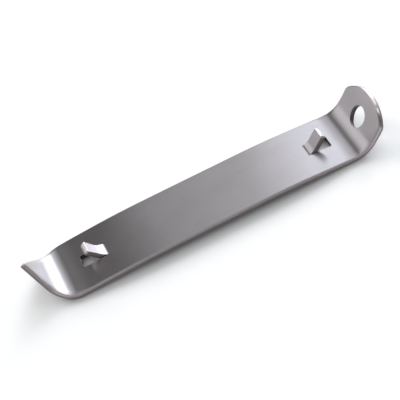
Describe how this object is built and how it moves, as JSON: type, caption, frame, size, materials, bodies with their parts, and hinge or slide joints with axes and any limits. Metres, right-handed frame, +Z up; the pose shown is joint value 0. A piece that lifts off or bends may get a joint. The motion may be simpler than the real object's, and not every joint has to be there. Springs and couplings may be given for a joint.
{
  "type": "can piercer and bottle opener",
  "caption": "Pocket can piercer and bottle opener pressed from one arched steel strip: a V point, a rim catch, a cap catch and a bent lip with a hanging hole.",
  "frame": {"origin": "on the surface the opener stands on, under the middle of its bounding box; the undersides of the two bends touch z = 0", "axes": "+X along the strip from the piercer's point to the opener's lip, +Y across the strip, +Z up, the way the point, the lip and both catches rise"},
  "size_m": [0.1024, 0.019, 0.0112],
  "materials": {
    "brushed_steel": "fine satin grain, soft reflections",
    "pressed_steel": "smoother and brighter where the strip is bent and sheared"
  },
  "bodies": {
    "root": {"handle_strip": "brushed_steel", "piercer_land": "brushed_steel", "opener_land": "brushed_steel", "piercer_point": "pressed_steel", "opener_lip": "pressed_steel", "rim_catch": "pressed_steel", "cap_catch": "pressed_steel"}
  },
  "joints": []
}
